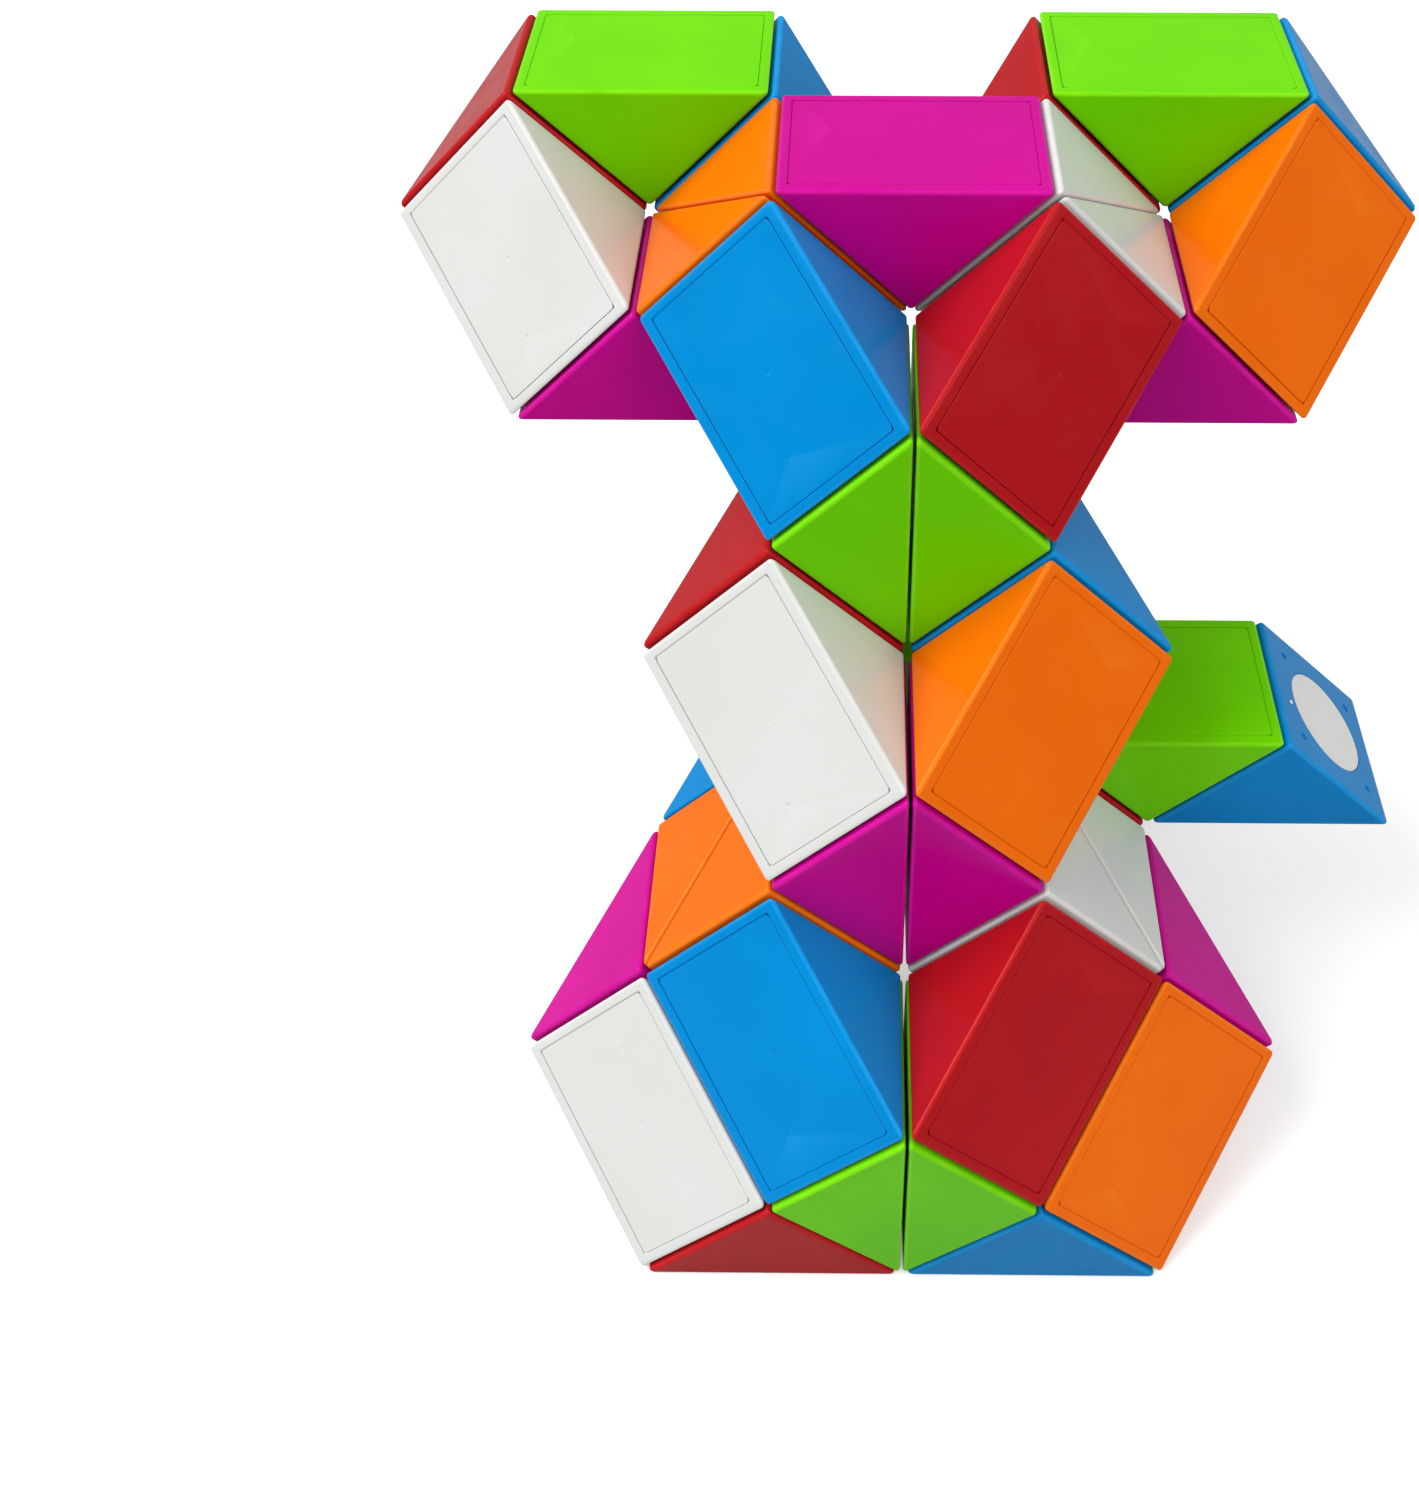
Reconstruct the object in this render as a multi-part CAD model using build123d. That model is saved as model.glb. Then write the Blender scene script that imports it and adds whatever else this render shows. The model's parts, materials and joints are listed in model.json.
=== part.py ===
from build123d import *
import os
from math import sqrt

# A folding snake puzzle: 48 wedges, each half a cube, joined face to face by 47 swivels and folded
# into a standing figure with two ears and a tail. +Z is up, +X is the figure's tail side, and -Y is
# its front. The origin is on the surface that it stands on, under the middle of its box.
# All sizes are in millimetres.

# driving dimensions
pitch = 18.8                 # side of the half cube that one wedge fills, gap included
gap = 0.3                    # clearance between two wedges that face each other
wall = 1.5                   # shell thickness
edge_radius = 0.6            # rounding of the edges between the square faces and the triangles
long_edge_radius = 0.2       # rounding of the long face's four edges

cover_thickness = 1.3
cover_rim = 1.3              # width of the shell's rim around the cover, on the long face
cover_groove = 0.12          # groove between the cover and the rim
ledge = 0.6                  # width of the step that the cover rests on
tab_length = 5.0             # snap tab under the cover, along the long face
tab_depth = 3.0
tab_thickness = 1.0

hub_radius = 3.5             # collar that turns in the next wedge's wall
bore_clearance = 0.08
hub_setback = 0.2            # how far the collar stops short of the wall's inside
boss_radius = 2.75
boss_end = 4.0               # how far the screw boss reaches in from the face plane

shank_radius = 1.25
shank_clearance = 0.05
shank_end = 3.4
head_radius = 2.75
head_height = 1.2
recess_length = 2.8          # cross recess in the screw head
recess_width = 0.6
recess_depth = 0.6
washer_radius = 4.6
washer_bore = 1.5
washer_thickness = 0.5
spring_radius = 3.6
spring_rise = 0.75           # height of the dished spring washer
spring_thickness = 0.35
running_gap = 0.05           # between the flat washer and the wall that turns on it

click_distance = 8.4         # four pips click into four sockets, at this distance from the swivel
socket_radius = 0.7
socket_depth = 0.2
pip_radius = 0.5
pip_height = 0.15

plug_radius = 6.0            # round cap in the free face at each end
plug_head = 0.8
plug_skirt_radius = 4.3
plug_skirt_wall = 1.0
plug_depth = 2.8
plug_clearance = 0.1

colours = ["blue", "green", "red", "white", "magenta", "orange"]

# Quarter turns of each swivel, counted from the straight stick, along the chain from the tail's tip.
figure = {
    "tail": "031",
    "right leg and foot": "031233333",
    "right flank": "331",
    "right ear": "1131333",
    "brow": "111",
    "left ear": "31333111",
    "left flank": "11112",
    "left leg and foot": "3100",
    "back and rear prop": "01302",
}
turns = [int(digit) for stretch in figure.values() for digit in stretch]
wedge_count = len(turns) + 1

# worked out from the driving dimensions
face = gap / 2                                   # a wedge's faces stand back this far from its cell
half = pitch / 2
half_diagonal = pitch / sqrt(2)
inner_wall = face + wall                         # inside of a square face's wall
cover_back = face + cover_thickness              # inside of the cover, from the cell's diagonal
rim_wall = cover_rim / sqrt(2)                   # the rim measured square to the square faces

# A wedge's own frame: the right-angle edge is the Z axis, with its middle at the origin. The entry
# face lies in the YZ plane, the exit face in the XZ plane, and the long face opposite.
to_exit = Rot(Z=45) * Rot(X=180) * Rot(Z=-45)    # swaps the entry face and the exit face


def triangle_prism(leg_inset, long_inset, end_inset):
    reach = pitch - long_inset * sqrt(2)
    corners = [(leg_inset, leg_inset), (reach - leg_inset, leg_inset), (leg_inset, reach - leg_inset)]
    outline = make_face(Polyline(*corners, close=True))
    return extrude(outline, half - end_inset, both=True)


def round_bar(radius, start, end):
    """A round bar on the entry swivel's axis, from start to end along X."""
    bar = Cylinder(radius, end - start, align=(Align.CENTER, Align.CENTER, Align.MIN))
    return Pos(start, half, 0) * Rot(Y=90) * bar


def cover_plate(groove):
    """The long face's plate, with its two ends cut back parallel to the square faces."""
    leg_inset = face + rim_wall + groove
    end_inset = face + cover_rim + groove
    plate = triangle_prism(leg_inset, face, end_inset)
    return plate - triangle_prism(-pitch, cover_back, -face)


def make_cover():
    cover = cover_plate(cover_groove)
    middle = (pitch - cover_back * sqrt(2)) / 2
    tab = Box(tab_length, tab_depth, tab_thickness, align=(Align.CENTER, Align.MAX, Align.CENTER))
    tab_height = half - face - cover_rim - ledge - cover_groove - tab_thickness / 2
    for height in (tab_height, -tab_height):
        cover += Pos(middle, middle, height) * Rot(Z=-45) * tab
    return cover


def make_shell():
    outside = triangle_prism(face, face, face)
    long_face = outside.faces().sort_by(SortBy.AREA)[-1]
    shell = fillet(outside.edges() - long_face.edges(), edge_radius)
    long_face = shell.faces().sort_by(SortBy.AREA)[-1]
    shell = fillet(long_face.edges(), long_edge_radius)
    shell -= triangle_prism(inner_wall, cover_back, face + cover_rim + ledge)
    lifted = Pos(face, face, 0) * cover_plate(0)
    return shell - cover_plate(0) - lifted


def hub_and_boss():
    return round_bar(hub_radius, hub_setback - inner_wall, inner_wall) + round_bar(boss_radius, face, boss_end)


def screw_hole():
    return round_bar(shank_radius + shank_clearance, -pitch / 4, shank_end + shank_clearance)


def swivel_bore():
    return to_exit * round_bar(hub_radius + bore_clearance, -pitch / 4, inner_wall + wall / 2)


def add_clicks(shell):
    """Four sockets in the entry face, and four low pips on the exit face that click into the next one's."""
    reach = click_distance / sqrt(2)
    socket = Rot(Y=90) * Cylinder(socket_radius, 2 * socket_depth)
    from_face = (Align.CENTER, Align.CENTER, Align.MIN)
    pip = Rot(Y=90) * Cylinder(pip_radius, pip_height + wall / 2, align=from_face)
    for y in (-reach, reach):
        for z in (-reach, reach):
            spot = Pos(face, half + y, z)
            shell -= spot * socket
            shell += to_exit * spot * Pos(-pip_height, 0, 0) * pip
    return shell


def plug_seat():
    seat = round_bar(plug_radius + plug_clearance, -pitch / 4, face + plug_head + running_gap)
    return seat + round_bar(plug_skirt_radius + plug_clearance, -pitch / 4, inner_wall + wall / 2)


def make_washer():
    back = -inner_wall - running_gap
    ring = round_bar(washer_radius, back - washer_thickness, back)
    return ring - round_bar(washer_bore, back - pitch, back + pitch)


def make_spring():
    """A dished ring: its outer edge rests on the flat washer, its inner edge under the screw head."""
    base = -inner_wall - running_gap - washer_thickness
    inner_edge = (base - spring_rise, washer_bore)
    outer_edge = (base - spring_thickness, spring_radius)
    section = Polyline(
        inner_edge, outer_edge, (base, spring_radius), (base - spring_rise + spring_thickness, washer_bore),
        close=True)
    ring = revolve(make_face(section), Axis.X)
    return Pos(0, half, 0) * ring


def make_screw():
    seat = -inner_wall - running_gap - washer_thickness - spring_rise
    head = round_bar(head_radius, seat - head_height, seat)
    slot = Box(recess_depth, recess_length, recess_width, align=(Align.MIN, Align.CENTER, Align.CENTER))
    for angle in (0, 90):
        head -= Pos(seat - head_height, half, 0) * Rot(X=angle) * slot
    return head + round_bar(shank_radius, seat, shank_end)


def make_plug():
    head = round_bar(plug_radius, face, face + plug_head)
    skirt = round_bar(plug_skirt_radius, face + plug_head, plug_depth)
    hollow = round_bar(plug_skirt_radius - plug_skirt_wall, face + plug_head, plug_depth)
    return head + (skirt - hollow)


def wedge_places():
    """Where each wedge sits: the chain is followed from the tail's tip, one swivel at a time."""
    lift = 3 * half_diagonal - face
    place = Plane(origin=(3 * half_diagonal, 0, lift), x_dir=(-1, 0, -1), z_dir=(0, -1, 0)).location
    places = [place]
    straight_on = Rot(Z=-90) * Rot(X=180)
    for quarter_turns in turns:
        swivel = Pos(half, 0, 0) * Rot(Y=-90 * quarter_turns)
        place = place * swivel * straight_on * Pos(0, -half, 0)
        places.append(place)
    return places


cover = make_cover()
shell = make_shell()
clicking_shell = add_clicks(shell)
pivot_shell = clicking_shell + hub_and_boss() - screw_hole()
middle_shell = pivot_shell - swivel_bore()
first_shell = clicking_shell - plug_seat() - swivel_bore()
last_shell = pivot_shell - to_exit * plug_seat()
swivel_hardware = [make_screw(), make_spring(), make_washer()]
plug = make_plug()

places = wedge_places()
os.makedirs("parts", exist_ok=True)

for index, place in enumerate(places):
    if index == 0:
        solids = [first_shell, cover]
    elif index == wedge_count - 1:
        solids = [last_shell, cover] + swivel_hardware
    else:
        solids = [middle_shell, cover] + swivel_hardware
    name = f"wedge_{index + 1:02d}_{colours[index % len(colours)]}"
    placed = [place * solid for solid in solids]
    export_step(Compound(children=placed), f"parts/{name}.step")

export_step(places[0] * plug, "parts/tail_plug_white.step")
export_step(places[-1] * to_exit * plug, "parts/rear_plug_white.step")
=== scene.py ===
import bmesh
import bpy
import json
from math import copysign, pi, radians, sqrt
from mathutils import Matrix, Vector


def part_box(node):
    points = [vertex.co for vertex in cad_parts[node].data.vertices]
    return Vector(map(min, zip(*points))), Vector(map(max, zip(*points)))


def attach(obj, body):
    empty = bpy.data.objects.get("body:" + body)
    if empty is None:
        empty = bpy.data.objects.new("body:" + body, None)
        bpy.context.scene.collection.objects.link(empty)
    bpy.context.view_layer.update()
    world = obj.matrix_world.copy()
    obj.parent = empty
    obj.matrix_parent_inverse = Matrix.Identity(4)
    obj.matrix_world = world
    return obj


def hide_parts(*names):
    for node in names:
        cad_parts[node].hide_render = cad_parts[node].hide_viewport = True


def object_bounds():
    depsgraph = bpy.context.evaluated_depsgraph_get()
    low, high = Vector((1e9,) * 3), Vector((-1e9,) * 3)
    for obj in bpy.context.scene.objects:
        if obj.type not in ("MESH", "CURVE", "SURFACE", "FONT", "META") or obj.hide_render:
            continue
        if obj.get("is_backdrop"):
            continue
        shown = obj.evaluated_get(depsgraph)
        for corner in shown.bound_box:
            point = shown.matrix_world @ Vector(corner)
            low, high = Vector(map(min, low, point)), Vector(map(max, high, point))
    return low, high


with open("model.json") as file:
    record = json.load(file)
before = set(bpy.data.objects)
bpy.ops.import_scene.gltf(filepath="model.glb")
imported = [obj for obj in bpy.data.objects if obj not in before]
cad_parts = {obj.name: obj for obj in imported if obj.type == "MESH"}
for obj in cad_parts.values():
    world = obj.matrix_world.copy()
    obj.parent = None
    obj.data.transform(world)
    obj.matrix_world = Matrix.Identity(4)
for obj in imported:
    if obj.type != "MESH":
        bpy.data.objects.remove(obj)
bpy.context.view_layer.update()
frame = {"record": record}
scene = bpy.context.scene
bodyOf = {node: body for body, nodes in frame["record"]["behaviour"]["bodies"].items() for node in nodes}

# Shapes are modelled once each in millimetres, in a wedge's own frame, and then placed in metres.
# There the right-angle edge is the Z axis, the entry face is at x = 0, the exit face at y = 0,
# and the long face is opposite the right angle.
metres = Matrix.Scale(0.001, 4)
mergeDistance = 0.001          # corners nearer than this are one
sharpAngle = radians(35)       # steeper edges than this stay crisp

wedge = {
    "pitch": 18.8,             # side of the half cube, gap included
    "gap": 0.3,                # clearance between two wedges that face each other
    "wall": 1.5,
    "edgeRadius": 0.45,        # edges between the square faces and the triangles
    "edgeSegments": 6,
    "longEdgeWidth": 0.56,     # width of the rounding on the long face's edges
    "longEdgeSegments": 4,
    "rim": 1.3,                # rim around the cover, on the long face
    "rimRounding": 0.08,
    "ledge": 0.6,              # step that the cover rests on
    "recess": 1.3,             # depth of the cover's seat
    "hubRadius": 3.5,          # collar that turns in the next wedge
    "hubStart": -1.45,
    "hubChamfer": 0.2,
    "boreRadius": 3.58,
    "bossRadius": 2.75,
    "bossEnd": 4.0,
    "bossOverlap": 0.3,        # how far the collar and the boss run into the wall
    "rootInset": 0.6,          # the wall is cut away behind the collar, by this much less than the boss
    "screwHole": 1.3,
    "screwHoleEnd": 3.45,
    "clickDistance": 8.4,      # pips and sockets, measured from the swivel
    "socketRadius": 0.7,
    "socketDepth": 0.2,
    "pipRadius": 0.5,
    "pipHeight": 0.15,
    "plugSeatRadius": 6.06,
    "plugSeatDepth": 0.85,
    "skirtSeatRadius": 4.4,
    "pinHoleRadius": 0.34,
    "pinHoleDepth": 0.6,
    "glintNubAt": (-6.9, 1.6),      # a small white nub on the plug, set in a hole in the shell, its white a painted glint; measured from the swivel
}
half = wedge["pitch"] / 2
face = wedge["gap"] / 2                                   # the faces stand back this far from the cell
innerWall = face + wedge["wall"]
longAt = wedge["pitch"] - face * sqrt(2)                  # x + y on the long face
across = Vector((1, -1, 0)).normalized()                  # along the long face, square to Z
outward = Vector((1, 1, 0)).normalized()
longMiddle = Vector((longAt / 2, longAt / 2, 0))
longHalfWidth = (longAt / 2 - face) * sqrt(2)
longHalfHeight = half - face
toExit = Matrix.Rotation(pi / 4, 4, "Z") @ Matrix.Rotation(pi, 4, "X") @ Matrix.Rotation(-pi / 4, 4, "Z")
swivelLine = Matrix.Translation((0, half, 0))             # the entry swivel's axis is this line along X
glintNubSpot = swivelLine @ Matrix.Translation((face, *wedge["glintNubAt"]))
throughWall = innerWall + 0.7                             # tools that cut the wall end here
startInset = 0.1                                          # of the cover's seat, before its corners are moved


def addObject(name, mesh):
    made = bpy.data.objects.new(name, mesh)
    scene.collection.objects.link(made)
    return made


def objectFrom(name, bm):
    mesh = bpy.data.meshes.new(name)
    bm.to_mesh(mesh)
    bm.free()
    return addObject(name, mesh)


def turned(profile, sides, closed=False):
    # spins (along, radius) pairs about the X axis
    bm = bmesh.new()
    verts = [bm.verts.new((along, radius, 0)) for along, radius in profile]
    ends = verts[1:] + verts[:1] if closed else verts[1:]
    edges = [bm.edges.new(pair) for pair in zip(verts, ends)]
    bmesh.ops.spin(
        bm, geom=verts + edges, cent=(0, 0, 0), axis=(1, 0, 0), angle=2 * pi, steps=sides, use_merge=True)
    bmesh.ops.remove_doubles(bm, verts=bm.verts[:], dist=mergeDistance)
    bmesh.ops.recalc_face_normals(bm, faces=bm.faces[:])
    return bm


def turnedTool(profile, sides, places):
    # the same turned shape at each place, as one object for a boolean
    joined = bmesh.new()
    for place in places:
        part = turned(profile, sides)
        mesh = bpy.data.meshes.new("part")
        part.to_mesh(mesh)
        part.free()
        mesh.transform(place)
        joined.from_mesh(mesh)
        bpy.data.meshes.remove(mesh)
    return objectFrom("tool", joined)


def shaped(blank, steps):
    # cuts the tools into the blank or joins them to it, and returns the finished mesh
    for operation, tool in steps:
        cut = blank.modifiers.new(operation, "BOOLEAN")
        cut.operation = operation
        cut.solver = "EXACT"
        cut.object = tool
    graph = bpy.context.evaluated_depsgraph_get()
    mesh = bpy.data.meshes.new_from_object(blank.evaluated_get(graph))
    for used in [blank] + [tool for operation, tool in steps]:
        bpy.data.objects.remove(used)
    bm = bmesh.new()
    bm.from_mesh(mesh)
    bmesh.ops.remove_doubles(bm, verts=bm.verts[:], dist=mergeDistance)
    bmesh.ops.dissolve_degenerate(bm, dist=mergeDistance, edges=bm.edges[:])
    openEdges = sum(not edge.is_manifold for edge in bm.edges)
    bm.to_mesh(mesh)
    bm.free()
    mesh.shade_smooth()
    mesh.set_sharp_from_angle(angle=sharpAngle)
    print("   mesh:", len(mesh.polygons), "faces,", openEdges, "open edges")
    return mesh


def ontoLongFace(panel, depth, halfWidth, halfHeight):
    # moves a four-cornered face to a rectangle at this depth below the long face
    for vert in panel.verts:
        side = copysign(halfWidth, vert.co.dot(across))
        height = copysign(halfHeight, vert.co.z)
        vert.co = longMiddle - outward * depth + across * side + Vector((0, 0, height))


def pushed(bm, panel):
    # extrudes a face and returns the new one, for the caller to move
    grown = bmesh.ops.extrude_face_region(bm, geom=[panel, *panel.edges])["geom"]
    return next(part for part in grown if isinstance(part, bmesh.types.BMFace))


def outerPanel(bm):
    # the flat of the long face
    return max(bm.faces, key=lambda f: f.normal.dot(outward) * f.calc_area())


def shellBlank():
    bm = bmesh.new()
    edgeMask = bm.verts.layers.float.new("edge")
    far = longAt - face
    corners = [(face, face), (far, face), (face, far)]
    base = bm.faces.new([bm.verts.new((x, y, -longHalfHeight)) for x, y in corners])
    top = pushed(bm, base)
    bmesh.ops.translate(bm, verts=top.verts[:], vec=(0, 0, 2 * longHalfHeight))
    bmesh.ops.recalc_face_normals(bm, faces=bm.faces[:])
    panel = outerPanel(bm)
    bmesh.ops.bevel(
        bm, geom=[e for e in bm.edges if panel not in e.link_faces], offset=wedge["edgeRadius"],
        offset_type="OFFSET", affect="EDGES", segments=wedge["edgeSegments"], profile=0.5, material=-1)
    bmesh.ops.bevel(
        bm, geom=outerPanel(bm).edges[:], offset=wedge["longEdgeWidth"], offset_type="WIDTH", affect="EDGES",
        segments=wedge["longEdgeSegments"], profile=0.5, material=-1)
    flat = sorted(bm.faces, key=lambda f: f.calc_area())[-5:]     # the five faces, without their roundings
    # the edge mask marks the roundings, which the shader paints paler as a highlight
    for vert in bm.verts:
        vert[edgeMask] = 0.0 if any(f in flat for f in vert.link_faces) else 1.0
    panel = outerPanel(bm)
    bmesh.ops.inset_region(bm, faces=[panel], thickness=startInset, use_even_offset=True)
    holeWidth = longHalfWidth - wedge["rim"]
    holeHeight = longHalfHeight - wedge["rim"]
    ontoLongFace(panel, 0, holeWidth, holeHeight)
    bmesh.ops.remove_doubles(bm, verts=panel.verts[:], dist=mergeDistance)
    panel = outerPanel(bm)
    rimEdges = panel.edges[:]
    cavityWidth = longHalfWidth - innerWall * sqrt(2) - wedge["recess"] + face * sqrt(2)
    cavityHeight = holeHeight - wedge["ledge"]
    cavityDepth = (longAt - 2 * innerWall) / sqrt(2)
    for step in (
            (wedge["recess"], holeWidth - wedge["recess"], holeHeight),
            (wedge["recess"], cavityWidth, cavityHeight),
            (cavityDepth, mergeDistance / 10, cavityHeight)):
        panel = pushed(bm, panel)
        ontoLongFace(panel, *step)
    bmesh.ops.remove_doubles(bm, verts=panel.verts[:], dist=10 * mergeDistance)     # its far end is one edge
    bmesh.ops.bevel(
        bm, geom=rimEdges, offset=wedge["rimRounding"], offset_type="OFFSET", affect="EDGES",
        segments=2, profile=0.5, material=-1)
    bmesh.ops.recalc_face_normals(bm, faces=bm.faces[:])
    return objectFrom("shell", bm)


def clickSpots(place):
    reach = wedge["clickDistance"] / sqrt(2)
    spots = [(face, y, z) for y in (-reach, reach) for z in (-reach, reach)]
    return [place @ swivelLine @ Matrix.Translation(spot) for spot in spots]


def makeShell(atStart, atEnd):
    w = wedge
    hubStart, hubRadius, hubEnd = w["hubStart"], w["hubRadius"], innerWall - w["bossOverlap"]
    hub = [
        (w["screwHoleEnd"], 0), (w["screwHoleEnd"], w["screwHole"]), (hubStart, w["screwHole"]),
        (hubStart, hubRadius - w["hubChamfer"]), (hubStart + w["hubChamfer"], hubRadius), (hubEnd, hubRadius),
        (hubEnd, w["bossRadius"]), (w["bossEnd"], w["bossRadius"]), (w["bossEnd"], 0)]
    rootRadius = w["bossRadius"] - w["rootInset"]
    hubRoot = [(-half, 0), (-half, rootRadius), (half / 2, rootRadius), (half / 2, 0)]
    bore = [(-half, 0), (-half, w["boreRadius"]), (throughWall, w["boreRadius"]), (throughWall, 0)]
    seat = face + w["plugSeatDepth"]
    plugSeat = [
        (-half, 0), (-half, w["plugSeatRadius"]), (seat, w["plugSeatRadius"]), (seat, w["skirtSeatRadius"]),
        (throughWall, w["skirtSeatRadius"]), (throughWall, 0)]
    outside = -1.0             # clear of the face that is cut
    depth, radius = w["socketDepth"], w["socketRadius"]
    socket = [(outside, 0), (outside, radius), (depth, radius * 0.6), (depth, 0)]
    height, radius = w["pipHeight"], w["pipRadius"]
    pip = [
        (-height, 0), (-height, radius * 0.5), (-height * 0.6, radius * 0.85), (-height * 0.25, radius),
        (w["wall"] / 2, radius), (w["wall"] / 2, 0)]
    depth, radius = w["pinHoleDepth"], w["pinHoleRadius"]
    pinHole = [(outside, 0), (outside, radius), (depth, radius), (depth, 0)]
    steps = []
    if atStart:
        steps.append(("DIFFERENCE", turnedTool(plugSeat, 64, [swivelLine])))
        steps.append(("DIFFERENCE", turnedTool(pinHole, 16, [glintNubSpot])))
    else:
        steps.append(("DIFFERENCE", turnedTool(hubRoot, 24, [swivelLine])))
        steps.append(("UNION", turnedTool(hub, 48, [swivelLine])))
    if atEnd:
        steps.append(("DIFFERENCE", turnedTool(plugSeat, 64, [toExit @ swivelLine])))
        steps.append(("DIFFERENCE", turnedTool(pinHole, 16, [toExit @ glintNubSpot])))
    else:
        steps.append(("DIFFERENCE", turnedTool(bore, 48, [toExit @ swivelLine])))
    steps.append(("DIFFERENCE", turnedTool(socket, 20, clickSpots(Matrix.Identity(4)))))
    steps.append(("UNION", turnedTool(pip, 20, clickSpots(toExit))))
    return shaped(shellBlank(), steps)


cover = {
    "groove": 0.05,            # between the cover and the shell's rim
    "thickness": 1.3,
    "edgeRounding": 0.12,
    "cornerRounding": 0.35,
    "tabLength": 5.0,
    "tabDepth": 3.0,
    "tabThickness": 1.0,
    "tabHeight": 6.73,
    "tabOverlap": 0.3,         # how far the tab runs into the cover
    "gateRadius": 0.36,        # mark where the plastic was fed in
    "gateDepth": 0.05,
    "pinMark": (7.6, 2.6),     # small mark of the mould's ejector pin: along and across the cover
    "pinMarkRadius": 0.24,
}


def makeCover():
    c = cover
    bm = bmesh.new()
    edgeMask = bm.verts.layers.float.new("edge")
    width = longHalfWidth - wedge["rim"] - c["groove"] * sqrt(2)
    height = longHalfHeight - wedge["rim"] - c["groove"]
    spots = [(-1, -1), (1, -1), (1, 1), (-1, 1)]
    top = bm.faces.new([bm.verts.new(across * u + Vector((0, 0, v))) for u, v in spots])
    ontoLongFace(top, 0, width, height)
    bottom = pushed(bm, top)
    ontoLongFace(bottom, c["thickness"], width - c["thickness"], height)
    uprights = [e for e in bm.edges if abs((e.verts[0].co - e.verts[1].co).dot(outward)) > 1]
    bmesh.ops.bevel(
        bm, geom=uprights, offset=c["cornerRounding"], offset_type="OFFSET", affect="EDGES",
        segments=4, profile=0.5, material=-1)
    bmesh.ops.recalc_face_normals(bm, faces=bm.faces[:])
    rounded = bmesh.ops.bevel(
        bm, geom=outerPanel(bm).edges[:], offset=c["edgeRounding"], offset_type="OFFSET", affect="EDGES",
        segments=3, profile=0.5, material=-1)
    wide = sorted(bm.faces, key=lambda f: f.calc_area())[-6:]     # the six flats
    # the cover's roundings take 0.6 of the painted highlight
    for vert in rounded["verts"]:
        vert[edgeMask] = 0.0 if any(f in wide for f in vert.link_faces) else 0.6
    blank = objectFrom("cover", bm)

    tabs = bmesh.new()
    for side in (-1, 1):
        sunk = c["thickness"] + (c["tabDepth"] - c["tabOverlap"]) / 2
        box = bmesh.ops.create_cube(tabs, size=1)["verts"]
        size = (c["tabDepth"] + c["tabOverlap"], c["tabLength"], c["tabThickness"])
        bmesh.ops.scale(tabs, vec=size, verts=box)
        bmesh.ops.rotate(tabs, verts=box, cent=(0, 0, 0), matrix=Matrix.Rotation(pi / 4, 3, "Z"))
        place = longMiddle - outward * sunk + Vector((0, 0, side * c["tabHeight"]))
        bmesh.ops.translate(tabs, verts=box, vec=place)
    intoFace = Matrix.Translation(longMiddle) @ Matrix.Rotation(pi * 1.25, 4, "Z")
    steps = [("UNION", objectFrom("tabs", tabs))]
    depth = c["gateDepth"]
    for radius, along, height in ((c["gateRadius"], 0, 0), (c["pinMarkRadius"], *c["pinMark"])):
        mark = [(-0.5, 0), (-0.5, radius), (0, radius), (depth, radius * 0.7), (depth * 0.6, 0)]
        steps.append(("DIFFERENCE", turnedTool(mark, 20, [intoFace @ Matrix.Translation((0, along, height))])))
    return shaped(blank, steps)


plug = {
    "radius": 6.0,
    "headDepth": 0.8,
    "lip": 0.3,                # raised ring round the cap
    "lipHeight": 0.04,
    "skirtRadius": 4.3,
    "skirtWall": 1.0,
    "depth": 2.8,
    "glintNubRadius": 0.3,
    "glintNubLength": 0.55,
}


def makePlug():
    p = plug
    radius, skirt, end = p["radius"], p["skirtRadius"], p["depth"]
    back = face + p["headDepth"]
    inner = radius - p["lip"]
    low = face + p["lipHeight"]
    profile = [
        (low, 0), (low, inner - 0.08), (face, inner), (face, radius - 0.12), (face + 0.03, radius - 0.04),
        (face + 0.12, radius), (back, radius), (back, skirt), (end - 0.2, skirt), (end, skirt - 0.2),
        (end, skirt - p["skirtWall"]), (back, skirt - p["skirtWall"]), (back, 0)]
    head = turnedTool(profile, 96, [swivelLine])
    radius, end = p["glintNubRadius"], p["glintNubLength"]
    # the small nub is white like the cap: a painted glint beside the cap
    pin = [(-0.1, 0), (-0.08, radius * 0.6), (0, radius * 0.9), (0.1, radius), (end, radius), (end, 0)]
    return shaped(head, [("UNION", turnedTool(pin, 16, [glintNubSpot]))])


swivel = {
    "headRadius": 2.75,
    "headHeight": 1.2,
    "headRounding": 0.3,
    "shankRadius": 1.25,
    "shankEnd": 3.4,
    "recessLength": 2.8,
    "recessWidth": 0.6,
    "recessDepth": 0.6,
    "springRadius": 3.6,
    "springRise": 0.75,
    "springThickness": 0.35,
    "washerRadius": 4.6,
    "washerBore": 1.5,
    "washerThickness": 0.5,
    "washerChamfer": 0.1,
    "runningGap": 0.05,
}


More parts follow.
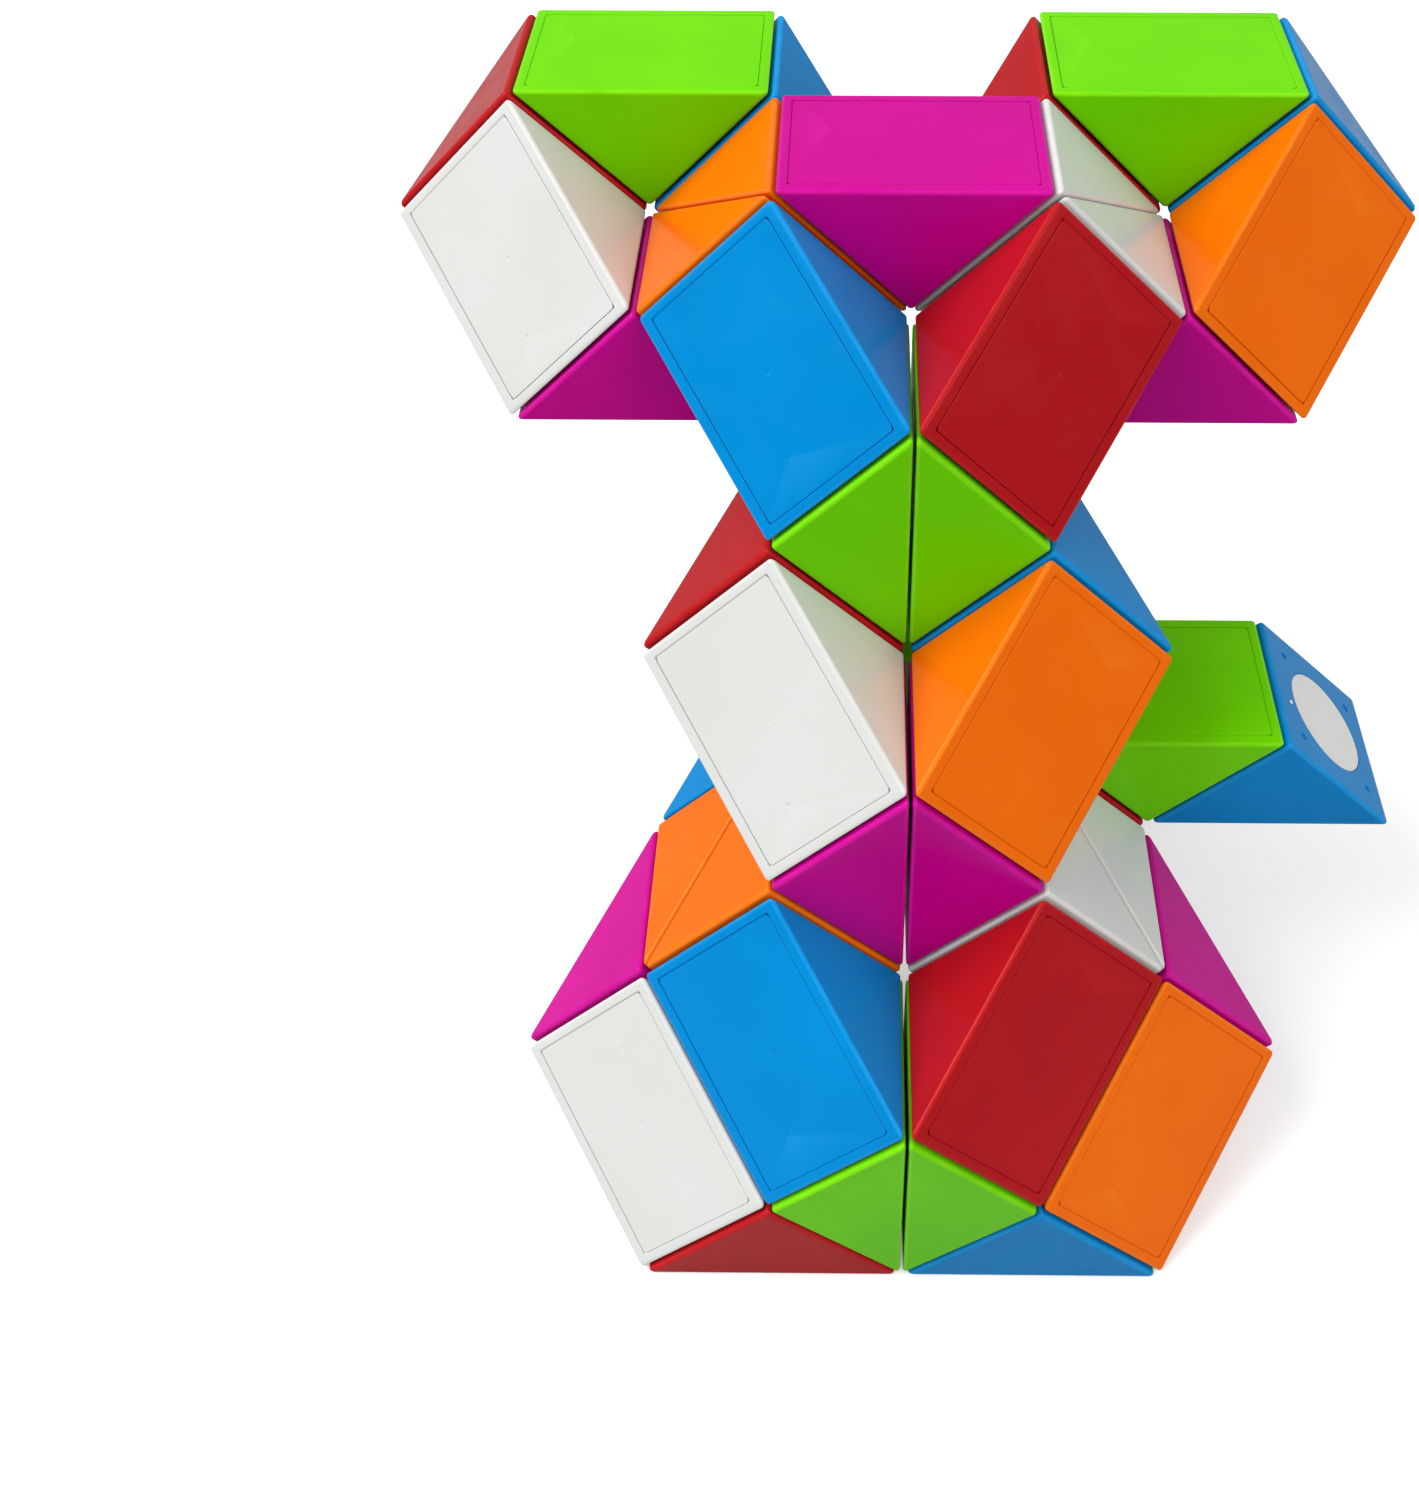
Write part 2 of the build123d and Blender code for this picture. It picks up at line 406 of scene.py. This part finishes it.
def makeScrew():
    s = swivel
    seat = -innerWall - s["runningGap"] - s["washerThickness"] - s["springRise"]
    back = seat - s["headHeight"]
    head, rounding, shank, end = s["headRadius"], s["headRounding"], s["shankRadius"], s["shankEnd"]
    profile = [
        (back, 0), (back, head - rounding), (back + rounding * 0.3, head - 0.08), (back + rounding, head),
        (seat, head), (seat, shank), (end - 0.5, shank), (end, shank - 0.5), (end, 0)]
    cross = bmesh.new()
    for size in ((s["recessLength"], s["recessWidth"]), (s["recessWidth"], s["recessLength"])):
        bar = bmesh.ops.create_cube(cross, size=1)["verts"]
        bmesh.ops.scale(cross, vec=(2 * s["recessDepth"], *size), verts=bar)
        bmesh.ops.translate(cross, verts=bar, vec=(back, half, 0))
    crossTool = objectFrom("cross", cross)
    screw = turnedTool(profile, 48, [swivelLine])
    cut = screw.modifiers.new("cross", "BOOLEAN")
    cut.operation = "DIFFERENCE"
    cut.use_self = True
    cut.object = crossTool
    mesh = shaped(screw, [])
    bpy.data.objects.remove(crossTool)
    return mesh


def makeSpring():
    s = swivel
    base = -innerWall - s["runningGap"] - s["washerThickness"]
    profile = [
        (base - s["springRise"], s["washerBore"]), (base - s["springThickness"], s["springRadius"]),
        (base, s["springRadius"]), (base - s["springRise"] + s["springThickness"], s["washerBore"])]
    joined = turned(profile, 48, closed=True)
    bmesh.ops.transform(joined, matrix=swivelLine, verts=joined.verts[:])
    return shaped(objectFrom("spring", joined), [])


def makeWasher():
    s = swivel
    back = -innerWall - s["runningGap"]
    front = back - s["washerThickness"]
    radius, chamfer = s["washerRadius"], s["washerChamfer"]
    profile = [
        (front, s["washerBore"]), (front, radius - chamfer), (front + chamfer, radius),
        (back - chamfer, radius), (back, radius - chamfer), (back, s["washerBore"])]
    joined = turned(profile, 48, closed=True)
    bmesh.ops.transform(joined, matrix=swivelLine, verts=joined.verts[:])
    return shaped(objectFrom("washer", joined), [])


# shader groups

def newGroup(name, inputs, outputs):
    group = bpy.data.node_groups.new(name, "ShaderNodeTree")
    for label, kind, value in inputs:
        group.interface.new_socket(label, in_out="INPUT", socket_type=kind).default_value = value
    for label, kind in outputs:
        group.interface.new_socket(label, in_out="OUTPUT", socket_type=kind)
    return group, group.nodes.new("NodeGroupInput"), group.nodes.new("NodeGroupOutput")


def addNode(tree, kind, **settings):
    node = tree.nodes.new(kind)
    for name, value in settings.items():
        setattr(node, name, value)
    return node


def noiseAt(tree, coordinates, scale, detail=2.0):
    noise = addNode(tree, "ShaderNodeTexNoise")
    noise.inputs["Detail"].default_value = detail
    tree.links.new(coordinates, noise.inputs["Vector"])
    if isinstance(scale, (int, float)):
        noise.inputs["Scale"].default_value = scale
    else:
        tree.links.new(scale, noise.inputs["Scale"])
    return noise.outputs["Fac"]


def ranged(tree, value, low, high, outLow=0.0, outHigh=1.0):
    node = addNode(tree, "ShaderNodeMapRange")
    tree.links.new(value, node.inputs["Value"])
    for name, limit in (("From Min", low), ("From Max", high), ("To Min", outLow), ("To Max", outHigh)):
        if isinstance(limit, (int, float)):
            node.inputs[name].default_value = limit
        else:
            tree.links.new(limit, node.inputs[name])
    return node.outputs["Result"]


def mixedColour(tree, amount, first, second):
    node = addNode(tree, "ShaderNodeMix", data_type="RGBA")
    for socket, source in zip((node.inputs[0], node.inputs[6], node.inputs[7]), (amount, first, second)):
        tree.links.new(source, socket)
    return node.outputs[2]


def mathNode(tree, operation, first, second):
    node = addNode(tree, "ShaderNodeMath", operation=operation)
    for socket, source in zip(node.inputs, (first, second)):
        if isinstance(source, (int, float)):
            socket.default_value = source
        else:
            tree.links.new(source, socket)
    return node.outputs[0]


skin = {
    "waveScale": 160,          # slow waves in the height, and their strength against the grain
    "waveHeight": 4.0,
    "pitScale": 420,
    "pitEdge": (0.05, 0.12),
    "pitHeight": 0.8,
    "touchScale": 230,         # patches polished or dulled by hands
    "sheenAndPolishScale": 350,           # uneven painted highlight and polish along the edges
    "rubPolish": 0.12,         # how much smoother a rubbed edge is
}


def mouldedSkinGroup():
    # fine texture left by the mould, slow swirls in the colour, and patches polished or dulled by hands
    group, given, result = newGroup(
        "moulded skin",
        [("Grain Scale", "NodeSocketFloat", 1500), ("Flow Scale", "NodeSocketFloat", 70),
         ("Smooth", "NodeSocketFloat", 0.2), ("Rough", "NodeSocketFloat", 0.35)],
        [("Height", "NodeSocketFloat"), ("Flow", "NodeSocketFloat"), ("Roughness", "NodeSocketFloat")])
    place = addNode(group, "ShaderNodeTexCoord").outputs["Object"]
    grain = noiseAt(group, place, given.outputs["Grain Scale"], 3.0)
    wave = noiseAt(group, place, skin["waveScale"], 1.0)
    flow = noiseAt(group, place, given.outputs["Flow Scale"], 3.0)
    touch = noiseAt(group, place, skin["touchScale"], 5.0)
    speck = addNode(group, "ShaderNodeTexVoronoi")
    speck.inputs["Scale"].default_value = skin["pitScale"]
    group.links.new(place, speck.inputs["Vector"])
    pit = ranged(group, speck.outputs["Distance"], *skin["pitEdge"])
    height = mathNode(group, "ADD", grain, mathNode(group, "MULTIPLY", wave, skin["waveHeight"]))
    height = mathNode(group, "ADD", height, mathNode(group, "MULTIPLY", pit, skin["pitHeight"]))
    group.links.new(height, result.inputs["Height"])
    group.links.new(ranged(group, flow, 0.3, 0.7), result.inputs["Flow"])
    rough = ranged(group, touch, 0.35, 0.68, given.outputs["Smooth"], given.outputs["Rough"])
    group.links.new(rough, result.inputs["Roughness"])
    return group


def paintedEdgeSheenAndPolishGroup():
    # rounded edges get a painted highlight, a paler colour, and are a little more polished than the faces
    group, given, result = newGroup(
        "painted edge sheen and polish",
        [("Base", "NodeSocketColor", (0.5, 0.5, 0.5, 1)), ("Deep", "NodeSocketColor", (0.4, 0.4, 0.4, 1)),
         ("Edge", "NodeSocketColor", (0.8, 0.8, 0.8, 1)), ("Flow", "NodeSocketFloat", 0.5),
         ("Roughness", "NodeSocketFloat", 0.3), ("Sheen And Polish", "NodeSocketFloat", 0.5)],
        [("Color", "NodeSocketColor"), ("Roughness", "NodeSocketFloat")])
    place = addNode(group, "ShaderNodeTexCoord").outputs["Object"]
    edge = addNode(group, "ShaderNodeAttribute", attribute_name="edge").outputs["Fac"]
    uneven = ranged(group, noiseAt(group, place, skin["sheenAndPolishScale"], 4.0), 0.3, 0.6, 0.45, 1.0)
    # painted highlight: the mask mixes the rounded edges' colour towards the paler Edge colour
    sheenAndPolishMask = mathNode(group, "MULTIPLY", mathNode(group, "MULTIPLY", edge, uneven), given.outputs["Sheen And Polish"])
    body = mixedColour(group, given.outputs["Flow"], given.outputs["Base"], given.outputs["Deep"])
    group.links.new(mixedColour(group, sheenAndPolishMask, body, given.outputs["Edge"]), result.inputs["Color"])
    polish = mathNode(group, "MULTIPLY", sheenAndPolishMask, skin["rubPolish"])
    polished = mathNode(group, "SUBTRACT", given.outputs["Roughness"], polish)
    group.links.new(polished, result.inputs["Roughness"])
    return group


skinGroup = mouldedSkinGroup()
edgeSheenAndPolishGroup = paintedEdgeSheenAndPolishGroup()

# base and deep: the colour's slow swirls; edge: painted highlight, the paler colour of the rounded edges;
# tint: of the gloss
plastics = {
    "plastic_blue": {
        "base": (0.0, 0.25, 0.64),
        "deep": (0.0, 0.22, 0.58),
        "edge": (0.04, 0.42, 0.95),
        "tint": (0.12, 0.6, 1.0),
    },
    "plastic_green": {
        "base": (0.17, 0.72, 0.0),
        "deep": (0.14, 0.65, 0.0),
        "edge": (0.35, 0.9, 0.03),
        "tint": (0.5, 1.0, 0.08),
    },
    "plastic_red": {
        "base": (0.47, 0.008, 0.012),
        "deep": (0.42, 0.006, 0.01),
        "edge": (0.66, 0.03, 0.03),
        "tint": (1.0, 0.3, 0.3),
    },
    "plastic_white": {
        "base": (0.69, 0.70, 0.68),
        "deep": (0.66, 0.67, 0.645),
        "edge": (0.85, 0.85, 0.84),
        "tint": (1.0, 1.0, 1.0),
    },
    "plastic_magenta": {
        "base": (0.60, 0.0, 0.29),
        "deep": (0.53, 0.0, 0.25),
        "edge": (0.8, 0.03, 0.45),
        "tint": (1.0, 0.2, 0.8),
    },
    "plastic_orange": {
        "base": (0.95, 0.165, 0.002),
        "deep": (0.9, 0.145, 0.001),
        "edge": (1.0, 0.3, 0.03),
        "tint": (1.0, 0.6, 0.25),
    },
    "plug_white": {
        "base": (0.84, 0.84, 0.82),
        "deep": (0.80, 0.80, 0.78),
        "edge": (0.98, 0.98, 0.97),
        "tint": (1.0, 1.0, 1.0),
    },
}
finish = {
    "smooth": 0.16,
    "rough": 0.28,
    "grainScale": 1800,
    "flowScale": 70,
    "grainDepth": 0.000009,    # metres
    # strength of the painted highlight and polish on the rounded edges
    "edgeSheenAndPolish": 0.3,
    "ior": 1.53,
    "gloss": 0.3,
}


def plasticMaterial(slot):
    material = bpy.data.materials.new(slot)
    material.use_nodes = True
    tree = material.node_tree
    shader = tree.nodes["Principled BSDF"]
    shader.inputs["IOR"].default_value = finish["ior"]
    shader.inputs["Specular IOR Level"].default_value = finish["gloss"]
    shader.inputs["Specular Tint"].default_value = (*plastics[slot]["tint"], 1)
    surface = addNode(tree, "ShaderNodeGroup", node_tree=skinGroup)
    for socket, value in (
            ("Grain Scale", "grainScale"), ("Flow Scale", "flowScale"),
            ("Smooth", "smooth"), ("Rough", "rough")):
        surface.inputs[socket].default_value = finish[value]
    edgeSheenAndPolish = addNode(tree, "ShaderNodeGroup", node_tree=edgeSheenAndPolishGroup)
    for socket, colour in (("Base", "base"), ("Deep", "deep"), ("Edge", "edge")):
        edgeSheenAndPolish.inputs[socket].default_value = (*plastics[slot][colour], 1)
    edgeSheenAndPolish.inputs["Sheen And Polish"].default_value = finish["edgeSheenAndPolish"]
    bump = addNode(tree, "ShaderNodeBump")
    bump.inputs["Distance"].default_value = finish["grainDepth"]
    links = tree.links
    links.new(surface.outputs["Flow"], edgeSheenAndPolish.inputs["Flow"])
    links.new(surface.outputs["Roughness"], edgeSheenAndPolish.inputs["Roughness"])
    links.new(surface.outputs["Height"], bump.inputs["Height"])
    links.new(edgeSheenAndPolish.outputs["Color"], shader.inputs["Base Color"])
    links.new(edgeSheenAndPolish.outputs["Roughness"], shader.inputs["Roughness"])
    links.new(bump.outputs["Normal"], shader.inputs["Normal"])
    return material


steel = {
    "bright": (0.62, 0.62, 0.60, 1),
    "dull": (0.42, 0.42, 0.41, 1),
    "smooth": 0.25,
    "rough": 0.45,
}


def steelMaterial():
    material = bpy.data.materials.new("zinc plated steel")
    material.use_nodes = True
    tree = material.node_tree
    shader = tree.nodes["Principled BSDF"]
    shader.inputs["Metallic"].default_value = 1.0
    surface = addNode(tree, "ShaderNodeGroup", node_tree=skinGroup)
    surface.inputs["Smooth"].default_value = steel["smooth"]
    surface.inputs["Rough"].default_value = steel["rough"]
    edgeSheenAndPolish = addNode(tree, "ShaderNodeGroup", node_tree=edgeSheenAndPolishGroup)
    edgeSheenAndPolish.inputs["Base"].default_value = steel["bright"]
    edgeSheenAndPolish.inputs["Deep"].default_value = steel["dull"]
    tree.links.new(surface.outputs["Flow"], edgeSheenAndPolish.inputs["Flow"])
    tree.links.new(surface.outputs["Roughness"], edgeSheenAndPolish.inputs["Roughness"])
    tree.links.new(edgeSheenAndPolish.outputs["Color"], shader.inputs["Base Color"])
    tree.links.new(edgeSheenAndPolish.outputs["Roughness"], shader.inputs["Roughness"])
    return material


materials = {slot: plasticMaterial(slot) for slot in plastics}
steelFinish = steelMaterial()
print("materials:", len(materials) + 1)


# figure: quarter turns of each swivel, counted from the straight stick, from the tail's tip onwards
figure = {
    "tail": "031",
    "right leg and foot": "031233333",
    "right flank": "331",
    "right ear": "1131333",
    "brow": "111",
    "left ear": "31333111",
    "left flank": "11112",
    "left leg and foot": "3100",
    "back and rear prop": "01302",
}
colours = ["blue", "green", "red", "white", "magenta", "orange"]


def wedgePlaces():
    reach = 3 * wedge["pitch"] / sqrt(2)
    along, up = Vector((-1, 0, -1)).normalized(), Vector((0, -1, 0))
    place = Matrix((along, up.cross(along), up)).transposed().to_4x4()
    place.translation = (reach, 0, reach - face)
    places = [place]
    overAndOn = Matrix.Rotation(-pi / 2, 4, "Z") @ Matrix.Rotation(pi, 4, "X")
    straightOn = overAndOn @ Matrix.Translation((0, -half, 0))
    for quarterTurns in "".join(figure.values()):
        turn = Matrix.Translation((half, 0, 0)) @ Matrix.Rotation(-pi / 2 * int(quarterTurns), 4, "Y")
        place = place @ turn @ straightOn
        places.append(place)
    return places


def addPiece(name, base, place, material, node):
    mesh = base.copy()
    mesh.name = name
    mesh.transform(metres @ place)
    mesh.materials.append(material)
    piece = addObject(name, mesh)
    shading = piece.modifiers.new("flat faces", "WEIGHTED_NORMAL")
    shading.keep_sharp = True
    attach(piece, bodyOf[node])
    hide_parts(node)
    return piece


print("shapes")
firstShell, middleShell, lastShell = makeShell(True, False), makeShell(False, False), makeShell(False, True)
coverShape = makeCover()
plugShape = makePlug()
hardware = {"screw": makeScrew(), "spring": makeSpring(), "washer": makeWasher()}

places = wedgePlaces()
worst = 0.0
for index, place in enumerate(places):
    colour = colours[index % len(colours)]
    tag = f"{index + 1:02d}"
    node = f"wedge_{tag}_{colour}"
    slot = "plastic_" + colour
    base = firstShell if index == 0 else lastShell if index == len(places) - 1 else middleShell
    shell = addPiece(f"shell_{tag}_{colour}", base, place, materials[slot], node)
    addPiece(f"cover_{tag}_{colour}", coverShape, place, materials[slot], node)
    if index > 0:
        for part, mesh in hardware.items():
            addPiece(f"{part}_{tag}", mesh, place, steelFinish, node)
    low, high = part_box(node)
    middle = sum((vert.co for vert in shell.data.vertices), Vector()) / len(shell.data.vertices)
    worst = max(worst, *(max(a - m, m - b) for a, m, b in zip(low, middle, high)))
if worst > 0:
    raise ValueError("a wedge isn't where its part is")
addPiece("plug_tail", plugShape, places[0], materials["plug_white"], "tail_plug_white")
addPiece("plug_rear", plugShape, places[-1] @ toExit, materials["plug_white"], "rear_plug_white")
for base in (firstShell, middleShell, lastShell, coverShape, plugShape, *hardware.values()):
    bpy.data.meshes.remove(base)


# studio
studio = {
    "floorSize": 8.0,
    "floorColour": (0.96, 0.96, 0.96, 1),
    "floorBounce": (0.36, 0.36, 0.36, 1),    # what the toy sees of the floor
    "floorGlow": 0.28,                       # keeps the far floor and the shadows pale
    "world": 0.62,
    "worldGloss": 0.2,                       # what shines in the toy's surfaces
    "keyPower": 50.0,
    "keySize": 1.8,
    "keyPlace": (-1.65, -0.1, 1.75),
    "fillPower": 17.0,
    "fillSize": 1.5,
    "fillPlace": (1.7, -1.15, 1.6),
    "target": (0, 0, 0.045),
}


def mixedShader(tree, ray, otherwise, forRay):
    # the second output is used for this kind of ray only
    mix = addNode(tree, "ShaderNodeMixShader")
    path = addNode(tree, "ShaderNodeLightPath")
    tree.links.new(path.outputs[ray], mix.inputs[0])
    tree.links.new(otherwise, mix.inputs[1])
    tree.links.new(forRay, mix.inputs[2])
    return mix.outputs[0]


def addFloor():
    bm = bmesh.new()
    bmesh.ops.create_grid(bm, x_segments=1, y_segments=1, size=studio["floorSize"] / 2)
    floor = objectFrom("floor", bm)
    material = bpy.data.materials.new("pale floor")
    material.use_nodes = True
    tree = material.node_tree
    seen = tree.nodes["Principled BSDF"]
    bounce = addNode(tree, "ShaderNodeBsdfPrincipled")
    seen.inputs["Base Color"].default_value = studio["floorColour"]
    seen.inputs["Emission Color"].default_value = (1, 1, 1, 1)
    seen.inputs["Emission Strength"].default_value = studio["floorGlow"]
    bounce.inputs["Base Color"].default_value = studio["floorBounce"]
    place = addNode(tree, "ShaderNodeTexCoord").outputs["Object"]
    rough = ranged(tree, noiseAt(tree, place, 30, 2.0), 0.3, 0.7, 0.24, 0.27)
    tree.links.new(rough, seen.inputs["Roughness"])
    mix = mixedShader(tree, "Is Camera Ray", bounce.outputs[0], seen.outputs[0])
    tree.links.new(mix, tree.nodes["Material Output"].inputs["Surface"])
    floor.data.materials.append(material)
    floor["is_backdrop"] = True


def addLight(name, power, size, place):
    lamp = bpy.data.lights.new(name, "AREA")
    lamp.energy = power
    lamp.size = size
    light = addObject(name, lamp)
    light.location = place
    aim = Vector(studio["target"]) - Vector(place)
    light.rotation_euler = aim.to_track_quat("-Z", "Y").to_euler()


def addWorld():
    world = bpy.data.worlds.new("studio")
    world.use_nodes = True
    tree = world.node_tree
    ambient = tree.nodes["Background"]
    shine = addNode(tree, "ShaderNodeBackground")
    seen = addNode(tree, "ShaderNodeBackground")
    for background, strength in ((ambient, studio["world"]), (shine, studio["worldGloss"]), (seen, 1.0)):
        background.inputs["Color"].default_value = (1, 1, 1, 1)
        background.inputs["Strength"].default_value = strength
    lit = mixedShader(tree, "Is Glossy Ray", ambient.outputs[0], shine.outputs[0])
    mix = mixedShader(tree, "Is Camera Ray", lit, seen.outputs[0])
    tree.links.new(mix, tree.nodes["World Output"].inputs["Surface"])
    scene.world = world


camera = {
    "place": (-0.005324, -0.126938, 0.172446),
    "tilt": 47.29,             # degrees up from looking straight down
    "turn": 0.51,
    "lens": 41.13,
    "shiftX": -0.0885,
    "shiftY": -0.1205,
}


def addCamera():
    lens = bpy.data.cameras.new("camera")
    lens.lens = camera["lens"]
    lens.sensor_width = 36
    lens.shift_x = camera["shiftX"]
    lens.shift_y = camera["shiftY"]
    lens.clip_start = 0.005
    lens.clip_end = 50
    seat = addObject("camera", lens)
    seat.location = camera["place"]
    seat.rotation_euler = (radians(camera["tilt"]), 0, radians(camera["turn"]))
    scene.camera = seat


addFloor()
addLight("key", studio["keyPower"], studio["keySize"], studio["keyPlace"])
addLight("fill", studio["fillPower"], studio["fillSize"], studio["fillPlace"])
addWorld()
addCamera()
scene.view_settings.view_transform = "Standard"
print("studio ready")

low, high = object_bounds()
